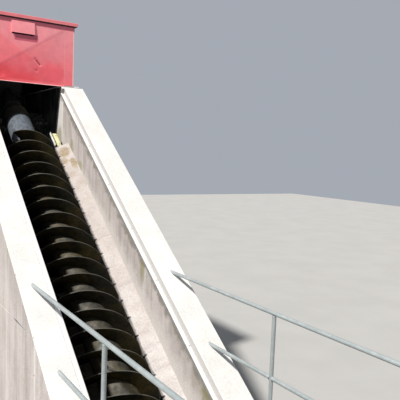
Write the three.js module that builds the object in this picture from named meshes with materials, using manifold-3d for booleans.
// Archimedes screw pump: an inclined three-start screw in an open concrete trough.
// Two side walls carry it, a sheet steel machine housing stands at the top, railings at the foot.
// Units are millimetres. X runs across the trough, Y runs towards the upper end, Z is up.
// The origin is the middle of the footprint, at ground level.

import * as THREE from "three";
import { mergeVertices } from "three/addons/utils/BufferGeometryUtils.js";
import Module from "manifold-3d";

// Overall layout
const totalWidth = 1692;
const totalLength = 8700;
const inclineDeg = 35;
const upperTopLevel = 4934;
const lowerTopLevel = 1840;
const upperCreaseY = 2300;
const upperCreaseStation = 6897;
const seatGap = 0.3;
const cutMargin = 1;
const mergeTolerance = 1e-3;

// Side walls
const leftWallThickness = 290;
const rightWallThickness = 330;
const rebateWidth = 40;
const rebateLowerMargin = 120;
const rebates = {
  left: { depth: 5, head: 6500 },
  right: { depth: 80, head: 6850 },
};
const wallRecess = { front: 2080, back: 2360, bottom: 4550, depth: 180 };

// Screw: depth of its axis under the sloping wall tops, sizes and stations along the slope
const axisDepth = 580;
const screwRadius = 326;
const tubeRadius = 169;
const screwPitch = 705;
const flightStarts = 3;
const flightThickness = 12;
const stepsPerTurn = 24;
const flightPhase = 4219;
const flightTopTurn = -1005;
const flightFootTurn = 1965;
const tubeFoot = 300;
const tubeHead = 7000;
const journalRadius = 60;
const shaftRadius = 70;
const shaftFlangeRadius = 150;
const shaftFlangeThickness = 30;
const runningGap = 0.6;
const boreSides = 48;
const channelArcSteps = 32;
const bearingArcSteps = 12;

// Trough
const channelRadius = 360;
const ledgeAtWall = -460;
const ledgeAtScrew = -550;
const troughHead = 6150;
const troughFootStation = 150;
const bedRun = { foot: -3000, depth: -6000 };
const dischargeFloorDepth = -1000;
const intakeFloorLevel = 140;
const guidePlateHead = 6450;
const guidePlateThickness = 8;
const guidePlateArcDeg = 62;
const guideUpstand = 85;
const guideGutter = { floor: 38, width: 26 };
const guideFlange = { top: 65, reach: 455 };
const guidePlateArcSteps = 8;

// Bearings and drive
const lowerBearing = { foot: -150, head: 50, width: 240, base: 110, top: 100 };
const upperBearing = { foot: 7150, head: 7330, width: 300, base: 180, top: 130 };
const bearingBeam = { foot: 7100, head: 7380, depth: 240 };
const gearbox = { foot: 7600, head: 8000, width: 400, half: 210 };
const shaftHead = 7700;
const motorHead = 8500;
const motorRadius = 140;
const driveSlab = { front: 3300, bottom: 4300, top: 4500 };
const endWall = { front: 4100, bottom: 4000 };
const cradleWidth = 360;
const pedestal = { back: -2900, front: -3160, width: 300 };

// Machine housing
const housingFront = 2300;
const housingDepth = 2000;
const housingCentreX = -32;
const housingHalfWidth = 735;
const panelHalfWidth = 587;
const sheet = 5;
const housingEaves = 5811;
const lidTop = 5856;
const lidPlate = 8;
const lidOverhang = { front: 17, side: 44 };
const solePlateThickness = 22;
const solePlate = { innerReach: 4, rightOuter: 790, leftOuter: -830 };
const panelBottom = 4937;
const creaseBottom = 4980;
const creaseTop = 5745;
const creaseHeight = 14;
const cowl = { left: -191, right: 123, bottom: 5604, top: 5765, topDepth: 9, bottomDepth: 24, sheet: 3 };

// Cover angles along the rebates
const coverAngle = { leg: 42, drop: 25, thickness: 4 };

// Railings
const railRadius = 16.85;
const railSides = 12;
const handrailLevel = 2820;
const kneeRailLevel = 2295;
const leftRailX = -718;
const rightRailX = 712;
const firstPostY = -2330;
const postSpacing = 1920;
const postCount = 2;
const postPlate = { width: 110, thickness: 8 };
const railEndMargin = 16;
const railRunHead = 0;
const groundBlock = { side: 200, foot: -2000, depth: -2000 };

// Worked out from the dimensions above
const incline = THREE.MathUtils.degToRad(inclineDeg);
const halfWidth = totalWidth / 2;
const halfLength = totalLength / 2;
const leftInner = -halfWidth + leftWallThickness;
const rightInner = halfWidth - rightWallThickness;
const axisX = (leftInner + rightInner) / 2;
const slopeOriginY = upperCreaseY - upperCreaseStation * Math.cos(incline);
const slopeOriginZ = upperTopLevel - upperCreaseStation * Math.sin(incline);
const lowerCreaseStation = (lowerTopLevel - slopeOriginZ) / Math.sin(incline);
const axisN = -axisDepth;
const solePlateTop = upperTopLevel + seatGap + solePlateThickness;
const housingBase = solePlateTop + seatGap;
const housingBack = housingFront + housingDepth;

const wasm = await Module();
wasm.setup();

const finishes = {
  concrete: { color: 0xb9b3a8, roughness: 0.9, metalness: 0 },
  redSheet: { color: 0xcf5a62, roughness: 0.55, metalness: 0.1 },
  galvanised: { color: 0xc9cdcb, roughness: 0.45, metalness: 0.8 },
  railPaint: { color: 0xb4c0b8, roughness: 0.6, metalness: 0.2 },
  screwSteel: { color: 0x2e2c26, roughness: 0.5, metalness: 0.6 },
  castIron: { color: 0x4a5258, roughness: 0.6, metalness: 0.5 },
};

const pump = new THREE.Group();
pump.name = "archimedes_screw_pump";

// The slope group has its own axes: x across, y up the slope (the station), z square to the wall tops.
const slope = new THREE.Group();
slope.position.set(0, slopeOriginY, slopeOriginZ);
slope.rotation.x = incline;
slope.updateMatrix();
pump.add(slope);

function addPiece(parent, name, finish, geometry) {
  geometry.computeVertexNormals();
  const mesh = new THREE.Mesh(geometry, new THREE.MeshStandardMaterial(finishes[finish]));
  mesh.name = name;
  parent.add(mesh);
  return mesh;
}

function toSolid(geometry) {
  geometry.deleteAttribute("normal");
  geometry.deleteAttribute("uv");
  const merged = mergeVertices(geometry, mergeTolerance);
  const mesh = new wasm.Mesh({
    numProp: 3,
    vertProperties: new Float32Array(merged.attributes.position.array),
    triVerts: new Uint32Array(merged.index.array),
  });
  return new wasm.Manifold(mesh);
}

function fromSolid(solid) {
  const mesh = solid.getMesh();
  const geometry = new THREE.BufferGeometry();
  geometry.setAttribute("position", new THREE.BufferAttribute(mesh.vertProperties, 3));
  geometry.setIndex(new THREE.BufferAttribute(mesh.triVerts, 1));
  return geometry;
}

function shapeOf(points) {
  return new THREE.Shape(points.map(([a, b]) => new THREE.Vector2(a, b)));
}

// A side profile given as [y, z] points, run across from x = fromX to x = toX.
function profileAcross(points, fromX, toX) {
  const geometry = new THREE.ExtrudeGeometry(shapeOf(points), { depth: toX - fromX, bevelEnabled: false });
  const basis = new THREE.Matrix4().makeBasis(
    new THREE.Vector3(0, 1, 0),
    new THREE.Vector3(0, 0, 1),
    new THREE.Vector3(1, 0, 0),
  );
  geometry.applyMatrix4(basis);
  geometry.translate(fromX, 0, 0);
  return geometry;
}

// A cross-section given as an [x, z] shape, run along y from fromY to toY.
function sectionAlong(shape, fromY, toY, arcSteps) {
  const depth = toY - fromY;
  const geometry = new THREE.ExtrudeGeometry(shape, { depth, bevelEnabled: false, curveSegments: arcSteps });
  const basis = new THREE.Matrix4().makeBasis(
    new THREE.Vector3(1, 0, 0),
    new THREE.Vector3(0, 0, 1),
    new THREE.Vector3(0, -1, 0),
  );
  geometry.applyMatrix4(basis);
  geometry.translate(0, toY, 0);
  return geometry;
}

function block(x0, x1, y0, y1, z0, z1) {
  const geometry = new THREE.BoxGeometry(x1 - x0, y1 - y0, z1 - z0);
  geometry.translate((x0 + x1) / 2, (y0 + y1) / 2, (z0 + z1) / 2);
  return geometry;
}

// A round bar along y.
function barAlong(x, z, radius, fromY, toY, sides) {
  const geometry = new THREE.CylinderGeometry(radius, radius, toY - fromY, sides);
  geometry.translate(x, (fromY + toY) / 2, z);
  return geometry;
}

// A point of the slope group, as [y, z] in the part's own frame.
function onSlope(station, height) {
  return [
    slopeOriginY + station * Math.cos(incline) - height * Math.sin(incline),
    slopeOriginZ + station * Math.sin(incline) + height * Math.cos(incline),
  ];
}

// The height z of the slope line that lies at the given height over the slope, where it passes y.
function slopeLevelAt(y, height) {
  const [startY, startZ] = onSlope(0, height);
  return startZ + (y - startY) * Math.tan(incline);
}

// A side wall as a solid: a sloping top between a low and a high level top, with a rebate for trough covers.
function wallSolid(inner, outer, depth, head) {
  const profile = [
    [-halfLength, 0],
    [halfLength, 0],
    [halfLength, upperTopLevel],
    [upperCreaseY, upperTopLevel],
    onSlope(lowerCreaseStation, 0),
    [-halfLength, lowerTopLevel],
  ];
  const wall = toSolid(profileAcross(profile, Math.min(inner, outer), Math.max(inner, outer)));
  const outward = Math.sign(outer - inner);
  const riser = inner + outward * rebateWidth;
  const beyond = inner - outward * rebateWidth;
  const rebate = block(
    Math.min(riser, beyond),
    Math.max(riser, beyond),
    lowerCreaseStation + rebateLowerMargin,
    head,
    -depth,
    depth,
  );
  rebate.applyMatrix4(slope.matrix);
  return wall.subtract(toSolid(rebate));
}

// The left wall also has a recess at its head, open towards the channel, where daylight reaches the tube.
function buildWalls() {
  const right = wallSolid(rightInner, halfWidth, rebates.right.depth, rebates.right.head);
  addPiece(pump, "right_wall", "concrete", fromSolid(right));
  const left = wallSolid(leftInner, -halfWidth, rebates.left.depth, rebates.left.head);
  const recess = block(
    leftInner - wallRecess.depth,
    leftInner + cutMargin,
    wallRecess.front,
    wallRecess.back,
    wallRecess.bottom,
    upperTopLevel + cutMargin,
  );
  addPiece(pump, "left_wall", "concrete", fromSolid(left.subtract(toSolid(recess))));
}

// Trough bed: mass concrete down to the ground, a half-round channel and a sloping ledge each side.
function buildTroughBed() {
  const edgeRise = ledgeAtScrew - axisN;
  const edgeAngle = Math.asin(edgeRise / channelRadius);
  const shape = new THREE.Shape();
  shape.moveTo(leftInner + seatGap, bedRun.depth);
  shape.lineTo(rightInner - seatGap, bedRun.depth);
  shape.lineTo(rightInner - seatGap, ledgeAtWall);
  shape.lineTo(axisX + channelRadius * Math.cos(edgeAngle), ledgeAtScrew);
  shape.absarc(axisX, axisN, channelRadius, edgeAngle, -Math.PI - edgeAngle, true);
  shape.lineTo(leftInner + seatGap, ledgeAtWall);
  shape.closePath();
  const run = sectionAlong(shape, bedRun.foot, troughHead, channelArcSteps);
  run.applyMatrix4(slope.matrix);
  const footY = onSlope(troughFootStation, axisN)[0];
  const headY = onSlope(troughHead, dischargeFloorDepth)[0];
  const keep = block(-halfWidth, halfWidth, footY, headY, 0, upperTopLevel);
  addPiece(pump, "trough_bed", "concrete", fromSolid(toSolid(run).intersect(toSolid(keep))));
  return { footY, headY };
}

// The floors, the bearing seats and the drive slab, which is cast in one with the end wall over the outlet.
function buildFloors(bed) {
  const [, dischargeLevel] = onSlope(troughHead, dischargeFloorDepth);
  const left = leftInner + seatGap;
  const right = rightInner - seatGap;
  const intake = block(left, right, -halfLength, bed.footY - seatGap, 0, intakeFloorLevel);
  addPiece(pump, "intake_floor", "concrete", intake);
  const discharge = block(left, right, bed.headY + seatGap, halfLength, 0, dischargeLevel);
  addPiece(pump, "discharge_floor", "concrete", discharge);
  const slab = [
    [driveSlab.front, driveSlab.bottom],
    [endWall.front, driveSlab.bottom],
    [endWall.front, endWall.bottom],
    [halfLength, endWall.bottom],
    [halfLength, upperTopLevel],
    [endWall.front, upperTopLevel],
    [endWall.front, driveSlab.top],
    [driveSlab.front, driveSlab.top],
  ];
  addPiece(pump, "drive_slab", "concrete", profileAcross(slab, left, right));
  const beamTop = axisN - upperBearing.base - seatGap;
  const beam = block(left, right, bearingBeam.foot, bearingBeam.head, beamTop - bearingBeam.depth, beamTop);
  addPiece(slope, "bearing_beam", "concrete", beam);
  const seat = axisN - lowerBearing.base - seatGap;
  const foot = intakeFloorLevel + seatGap;
  const profile = [
    [pedestal.front, foot],
    [pedestal.back, foot],
    [pedestal.back, slopeLevelAt(pedestal.back, seat)],
    [pedestal.front, slopeLevelAt(pedestal.front, seat)],
  ];
  const half = pedestal.width / 2;
  addPiece(pump, "bearing_pedestal", "concrete", profileAcross(profile, axisX - half, axisX + half));
}

// One helical flight: a flat-sided ribbon wound round the tube, closed at both ends.
function flightGeometry(start) {
  const stepDeg = 360 / stepsPerTurn;
  const lead = start * 360 / flightStarts;
  const steps = (flightFootTurn - flightTopTurn) / stepDeg;
  const inner = tubeRadius + seatGap;
  const positions = [];
  const index = [];
  for (let i = 0; i <= steps; i += 1) {
    const turn = flightTopTurn + lead + i * stepDeg;
    const angle = THREE.MathUtils.degToRad(turn);
    const station = flightPhase + screwPitch * (lead - turn) / 360;
    for (const radius of [inner, screwRadius]) {
      for (const offset of [-flightThickness / 2, flightThickness / 2]) {
        positions.push(axisX + radius * Math.sin(angle), station + offset, axisN + radius * Math.cos(angle));
      }
    }
  }
  const quad = (a, b, c, d) => index.push(a, c, b, a, d, c);
  for (let i = 0; i < steps; i += 1) {
    const [a, b, c, d] = [0, 1, 3, 2].map((k) => 4 * i + k);
    const [e, f, g, h] = [0, 1, 3, 2].map((k) => 4 * (i + 1) + k);
    quad(a, e, f, b);
    quad(b, f, g, c);
    quad(c, g, h, d);
    quad(d, h, e, a);
  }
  const last = 4 * steps;
  quad(0, 1, 3, 2);
  quad(last, last + 2, last + 3, last + 1);
  const geometry = new THREE.BufferGeometry();
  geometry.setAttribute("position", new THREE.Float32BufferAttribute(positions, 3));
  geometry.setIndex(index);
  return geometry;
}

function buildScrew() {
  const tube = barAlong(axisX, axisN, tubeRadius, tubeFoot, tubeHead, stepsPerTurn);
  addPiece(slope, "screw_tube", "screwSteel", tube);
  for (let start = 0; start < flightStarts; start += 1) {
    addPiece(slope, `screw_flight_${start + 1}`, "screwSteel", flightGeometry(start));
  }
  const journal = barAlong(
    axisX,
    axisN,
    journalRadius,
    lowerBearing.foot + seatGap,
    tubeFoot - seatGap,
    stepsPerTurn,
  );
  addPiece(slope, "lower_journal", "castIron", journal);
  const flangeFoot = tubeHead + seatGap;
  const shaft = toSolid(barAlong(axisX, axisN, shaftRadius, flangeFoot, shaftHead, stepsPerTurn));
  const flange = toSolid(
    barAlong(axisX, axisN, shaftFlangeRadius, flangeFoot, flangeFoot + shaftFlangeThickness, stepsPerTurn),
  );
  addPiece(slope, "upper_shaft", "castIron", fromSolid(shaft.add(flange)));
}

// A bearing block on its flat base, bored for the shaft, with a rounded cap.
function buildBearing(name, sizes, radius) {
  const half = sizes.width / 2;
  const shape = new THREE.Shape();
  shape.moveTo(axisX - half, axisN - sizes.base);
  shape.lineTo(axisX + half, axisN - sizes.base);
  shape.lineTo(axisX + half, axisN - sizes.base / 2);
  shape.lineTo(axisX + sizes.top, axisN);
  shape.absarc(axisX, axisN, sizes.top, 0, Math.PI, false);
  shape.lineTo(axisX - half, axisN - sizes.base / 2);
  shape.closePath();
  const body = sectionAlong(shape, sizes.foot, sizes.head, bearingArcSteps);
  const bore = barAlong(
    axisX,
    axisN,
    radius + runningGap,
    sizes.foot - cutMargin,
    sizes.head + cutMargin,
    boreSides,
  );
  addPiece(slope, name, "castIron", fromSolid(toSolid(body).subtract(toSolid(bore))));
}

function buildDrive() {
  const half = gearbox.width / 2;
  const bottom = axisN - gearbox.half;
  const top = axisN + gearbox.half;
  const box = toSolid(block(axisX - half, axisX + half, gearbox.foot, gearbox.head, bottom, top));
  const bore = toSolid(
    barAlong(
      axisX,
      axisN,
      shaftRadius + runningGap,
      gearbox.foot - cutMargin,
      shaftHead + seatGap,
      boreSides,
    ),
  );
  addPiece(slope, "gearbox", "castIron", fromSolid(box.subtract(bore)));
  const motor = barAlong(axisX, axisN, motorRadius, gearbox.head + seatGap, motorHead, stepsPerTurn);
  addPiece(slope, "drive_motor", "castIron", motor);
  const seat = bottom - seatGap;
  const [frontY] = onSlope(gearbox.foot, seat);
  const [backY] = onSlope(gearbox.head, seat);
  const foot = driveSlab.top + seatGap;
  const profile = [
    [frontY, foot],
    [backY, foot],
    [backY, slopeLevelAt(backY, seat)],
    [frontY, slopeLevelAt(frontY, seat)],
  ];
  const cradleHalf = cradleWidth / 2;
  const cradle = profileAcross(profile, axisX - cradleHalf, axisX + cradleHalf);
  addPiece(pump, "drive_cradle", "castIron", cradle);
}

// Curved steel plates that carry the channel past the end of the concrete.
// Above the arc each has an upstand, a narrow gutter behind it and a flange.
function buildGuidePlate(name, outward) {
  const arc = THREE.MathUtils.degToRad(guidePlateArcDeg);
  const outer = channelRadius + guidePlateThickness;
  const riser = outer + guideGutter.width;
  const under = guidePlateThickness;
  const shape = new THREE.Shape();
  shape.moveTo(channelRadius, guideUpstand);
  shape.lineTo(channelRadius, 0);
  shape.absarc(0, 0, channelRadius, 0, -arc, true);
  shape.lineTo(outer * Math.cos(arc), -outer * Math.sin(arc));
  shape.absarc(0, 0, outer, -arc, 0, false);
  shape.lineTo(outer, guideGutter.floor - under);
  shape.lineTo(riser + under, guideGutter.floor - under);
  shape.lineTo(riser + under, guideFlange.top - under);
  shape.lineTo(guideFlange.reach, guideFlange.top - under);
  shape.lineTo(guideFlange.reach, guideFlange.top);
  shape.lineTo(riser, guideFlange.top);
  shape.lineTo(riser, guideGutter.floor);
  shape.lineTo(outer, guideGutter.floor);
  shape.lineTo(outer, guideUpstand);
  shape.closePath();
  const points = shape.getPoints(guidePlateArcSteps).map((p) => [axisX + outward * p.x, axisN + p.y]);
  const plate = sectionAlong(shapeOf(points), troughHead + seatGap, guidePlateHead, 1);
  addPiece(slope, name, "galvanised", plate);
}

// Steel angle on the inner edge of each rebate: one leg on its floor, a short one down the wall.
function buildCoverAngle(name, inner, outward, rebate) {
  const skin = inner - outward * seatGap;
  const drop = inner - outward * (seatGap + coverAngle.thickness);
  const reach = inner + outward * (coverAngle.leg - coverAngle.thickness);
  const floor = -rebate.depth + seatGap;
  const points = [
    [drop, floor + coverAngle.thickness],
    [drop, floor - coverAngle.drop],
    [skin, floor - coverAngle.drop],
    [skin, floor],
    [reach, floor],
    [reach, floor + coverAngle.thickness],
  ];
  const from = lowerCreaseStation + rebateLowerMargin + seatGap;
  const angle = sectionAlong(shapeOf(points), from, rebate.head - seatGap, 1);
  addPiece(slope, name, "galvanised", angle);
}

// A sheet panel facing -y with four flat facets that rise to a point, as cross-broken sheet does.
function crossBrokenSheet(x0, x1, z0, z1, facetBottom, facetTop, y, outward) {
  const back = y;
  const face = y + outward * sheet;
  const plate = toSolid(block(x0, x1, Math.min(back, face), Math.max(back, face), z0, z1));
  const middleX = (x0 + x1) / 2;
  const middleZ = (facetBottom + facetTop) / 2;
  const sunk = face - outward * sheet / 2;
  const corners = [
    [x0, sunk, facetBottom],
    [x1, sunk, facetBottom],
    [x1, sunk, facetTop],
    [x0, sunk, facetTop],
    [x0, face, facetBottom],
    [x1, face, facetBottom],
    [x1, face, facetTop],
    [x0, face, facetTop],
    [middleX, face + outward * creaseHeight, middleZ],
  ];
  const outerFaces = [
    [0, 2, 1],
    [0, 3, 2],
    [0, 1, 5],
    [0, 5, 4],
    [1, 2, 6],
    [1, 6, 5],
    [2, 3, 7],
    [2, 7, 6],
    [3, 0, 4],
    [3, 4, 7],
    [4, 5, 8],
    [5, 6, 8],
    [6, 7, 8],
    [7, 4, 8],
  ];
  const turned = outerFaces.map(([a, b, c]) => (outward < 0 ? [a, b, c] : [a, c, b]));
  const geometry = new THREE.BufferGeometry();
  geometry.setAttribute("position", new THREE.Float32BufferAttribute(corners.flat(), 3));
  geometry.setIndex(turned.flat());
  return fromSolid(plate.add(toSolid(geometry)));
}

function buildHousing() {
  const left = housingCentreX - housingHalfWidth;
  const right = housingCentreX + housingHalfWidth;
  const panelLeft = housingCentreX - panelHalfWidth;
  const panelRight = housingCentreX + panelHalfWidth;
  const top = lidTop - lidPlate - seatGap;
  const front = crossBrokenSheet(
    panelLeft,
    panelRight,
    panelBottom,
    top,
    creaseBottom,
    creaseTop,
    housingFront + sheet,
    -1,
  );
  addPiece(pump, "housing_front_panel", "redSheet", front);
  const back = crossBrokenSheet(
    panelLeft,
    panelRight,
    panelBottom,
    top,
    creaseBottom,
    creaseTop,
    housingBack - sheet,
    1,
  );
  addPiece(pump, "housing_back_panel", "redSheet", back);
  for (const [side, edge, panelEdge] of [["left", left, panelLeft], ["right", right, panelRight]]) {
    const inward = Math.sign(housingCentreX - edge);
    const meet = panelEdge - inward * seatGap;
    const corner = block(
      Math.min(edge, meet),
      Math.max(edge, meet),
      housingFront,
      housingFront + sheet,
      housingBase,
      top,
    );
    addPiece(pump, `housing_front_${side}_corner`, "redSheet", corner);
    const rear = corner.clone();
    rear.translate(0, housingDepth - sheet, 0);
    addPiece(pump, `housing_back_${side}_corner`, "redSheet", rear);
    const inside = edge + inward * sheet;
    const flank = block(
      Math.min(edge, inside),
      Math.max(edge, inside),
      housingFront + sheet + seatGap,
      housingBack - sheet - seatGap,
      housingBase,
      top,
    );
    addPiece(pump, `housing_${side}_side`, "redSheet", flank);
  }
  const lidOuter = toSolid(
    block(
      left - lidOverhang.side,
      right + lidOverhang.side,
      housingFront - lidOverhang.front,
      housingBack + lidOverhang.front,
      housingEaves,
      lidTop,
    ),
  );
  const rim = { front: lidOverhang.front - sheet, side: lidOverhang.side - sheet };
  const lidInner = toSolid(
    block(
      left - rim.side,
      right + rim.side,
      housingFront - rim.front,
      housingBack + rim.front,
      housingEaves - cutMargin,
      lidTop - lidPlate,
    ),
  );
  addPiece(pump, "housing_lid", "redSheet", fromSolid(lidOuter.subtract(lidInner)));
  const soleBottom = upperTopLevel + seatGap;
  const soleFront = housingFront + sheet + seatGap;
  const soleBack = housingBack - sheet - seatGap;
  const rightSole = block(
    rightInner + solePlate.innerReach,
    solePlate.rightOuter,
    soleFront,
    soleBack,
    soleBottom,
    solePlateTop,
  );
  addPiece(pump, "right_sole_plate", "galvanised", rightSole);
  const leftSole = block(
    solePlate.leftOuter,
    leftInner - solePlate.innerReach,
    soleFront,
    soleBack,
    soleBottom,
    solePlateTop,
  );
  addPiece(pump, "left_sole_plate", "galvanised", leftSole);
}

// Rain hood over the front vent: a wedge of sheet, open underneath and towards the panel.
function buildCowl() {
  const facetRise = creaseHeight * (creaseTop - cowl.bottom) / ((creaseTop - creaseBottom) / 2);
  const seatTop = housingFront - seatGap;
  const seatBottom = housingFront - facetRise - seatGap;
  const outer = toSolid(
    profileAcross(
      [
        [seatBottom, cowl.bottom],
        [seatTop, cowl.top],
        [seatTop - cowl.topDepth, cowl.top],
        [seatTop - cowl.bottomDepth, cowl.bottom],
      ],
      cowl.left,
      cowl.right,
    ),
  );
  const hollow = toSolid(
    profileAcross(
      [
        [seatTop + cutMargin, cowl.bottom - cutMargin],
        [seatTop + cutMargin, cowl.top - cowl.sheet],
        [seatTop - cowl.topDepth + cowl.sheet, cowl.top - cowl.sheet],
        [seatTop - cowl.bottomDepth + cowl.sheet, cowl.bottom - cutMargin],
      ],
      cowl.left + cowl.sheet,
      cowl.right - cowl.sheet,
    ),
  );
  addPiece(pump, "vent_cowl", "redSheet", fromSolid(outer.subtract(hollow)));
}

// Railings: a level handrail and knee rail from the sloping wall top to the last post.
function buildRailing(side, x) {
  const lastPostY = firstPostY - (postCount - 1) * postSpacing;
  const under = block(
    x - groundBlock.side,
    x + groundBlock.side,
    groundBlock.foot,
    upperCreaseStation,
    groundBlock.depth,
    seatGap,
  );
  under.applyMatrix4(slope.matrix);
  const ground = toSolid(under);
  const handrailEnd = lastPostY - railRadius - railEndMargin;
  const run = toSolid(barAlong(x, handrailLevel, railRadius, handrailEnd, railRunHead, railSides));
  addPiece(pump, `${side}_handrail`, "railPaint", fromSolid(run.subtract(ground)));
  const gap = railRadius + seatGap;
  for (let i = 0; i < postCount; i += 1) {
    const y = firstPostY - i * postSpacing;
    const bayEnd = i === 0 ? railRunHead : y + postSpacing - gap;
    const bay = toSolid(barAlong(x, kneeRailLevel, railRadius, y + gap, bayEnd, railSides));
    addPiece(pump, `${side}_knee_rail_${i + 1}`, "railPaint", fromSolid(bay.subtract(ground)));
    const foot = lowerTopLevel + seatGap;
    const head = handrailLevel - railRadius - seatGap;
    const bar = new THREE.CylinderGeometry(railRadius, railRadius, head - foot, railSides);
    bar.rotateX(Math.PI / 2);
    bar.translate(x, y, (foot + head) / 2);
    const half = postPlate.width / 2;
    const plate = block(x - half, x + half, y - half, y + half, foot, foot + postPlate.thickness);
    addPiece(pump, `${side}_post_${i + 1}`, "railPaint", fromSolid(toSolid(bar).add(toSolid(plate))));
  }
}

buildWalls();
buildFloors(buildTroughBed());
buildCoverAngle("left_cover_angle", leftInner, -1, rebates.left);
buildCoverAngle("right_cover_angle", rightInner, 1, rebates.right);
buildGuidePlate("left_guide_plate", -1);
buildGuidePlate("right_guide_plate", 1);
buildScrew();
buildBearing("lower_bearing", lowerBearing, journalRadius);
buildBearing("upper_bearing", upperBearing, shaftRadius);
buildDrive();
buildHousing();
buildCowl();
buildRailing("left", leftRailX);
buildRailing("right", rightRailX);

export default pump;
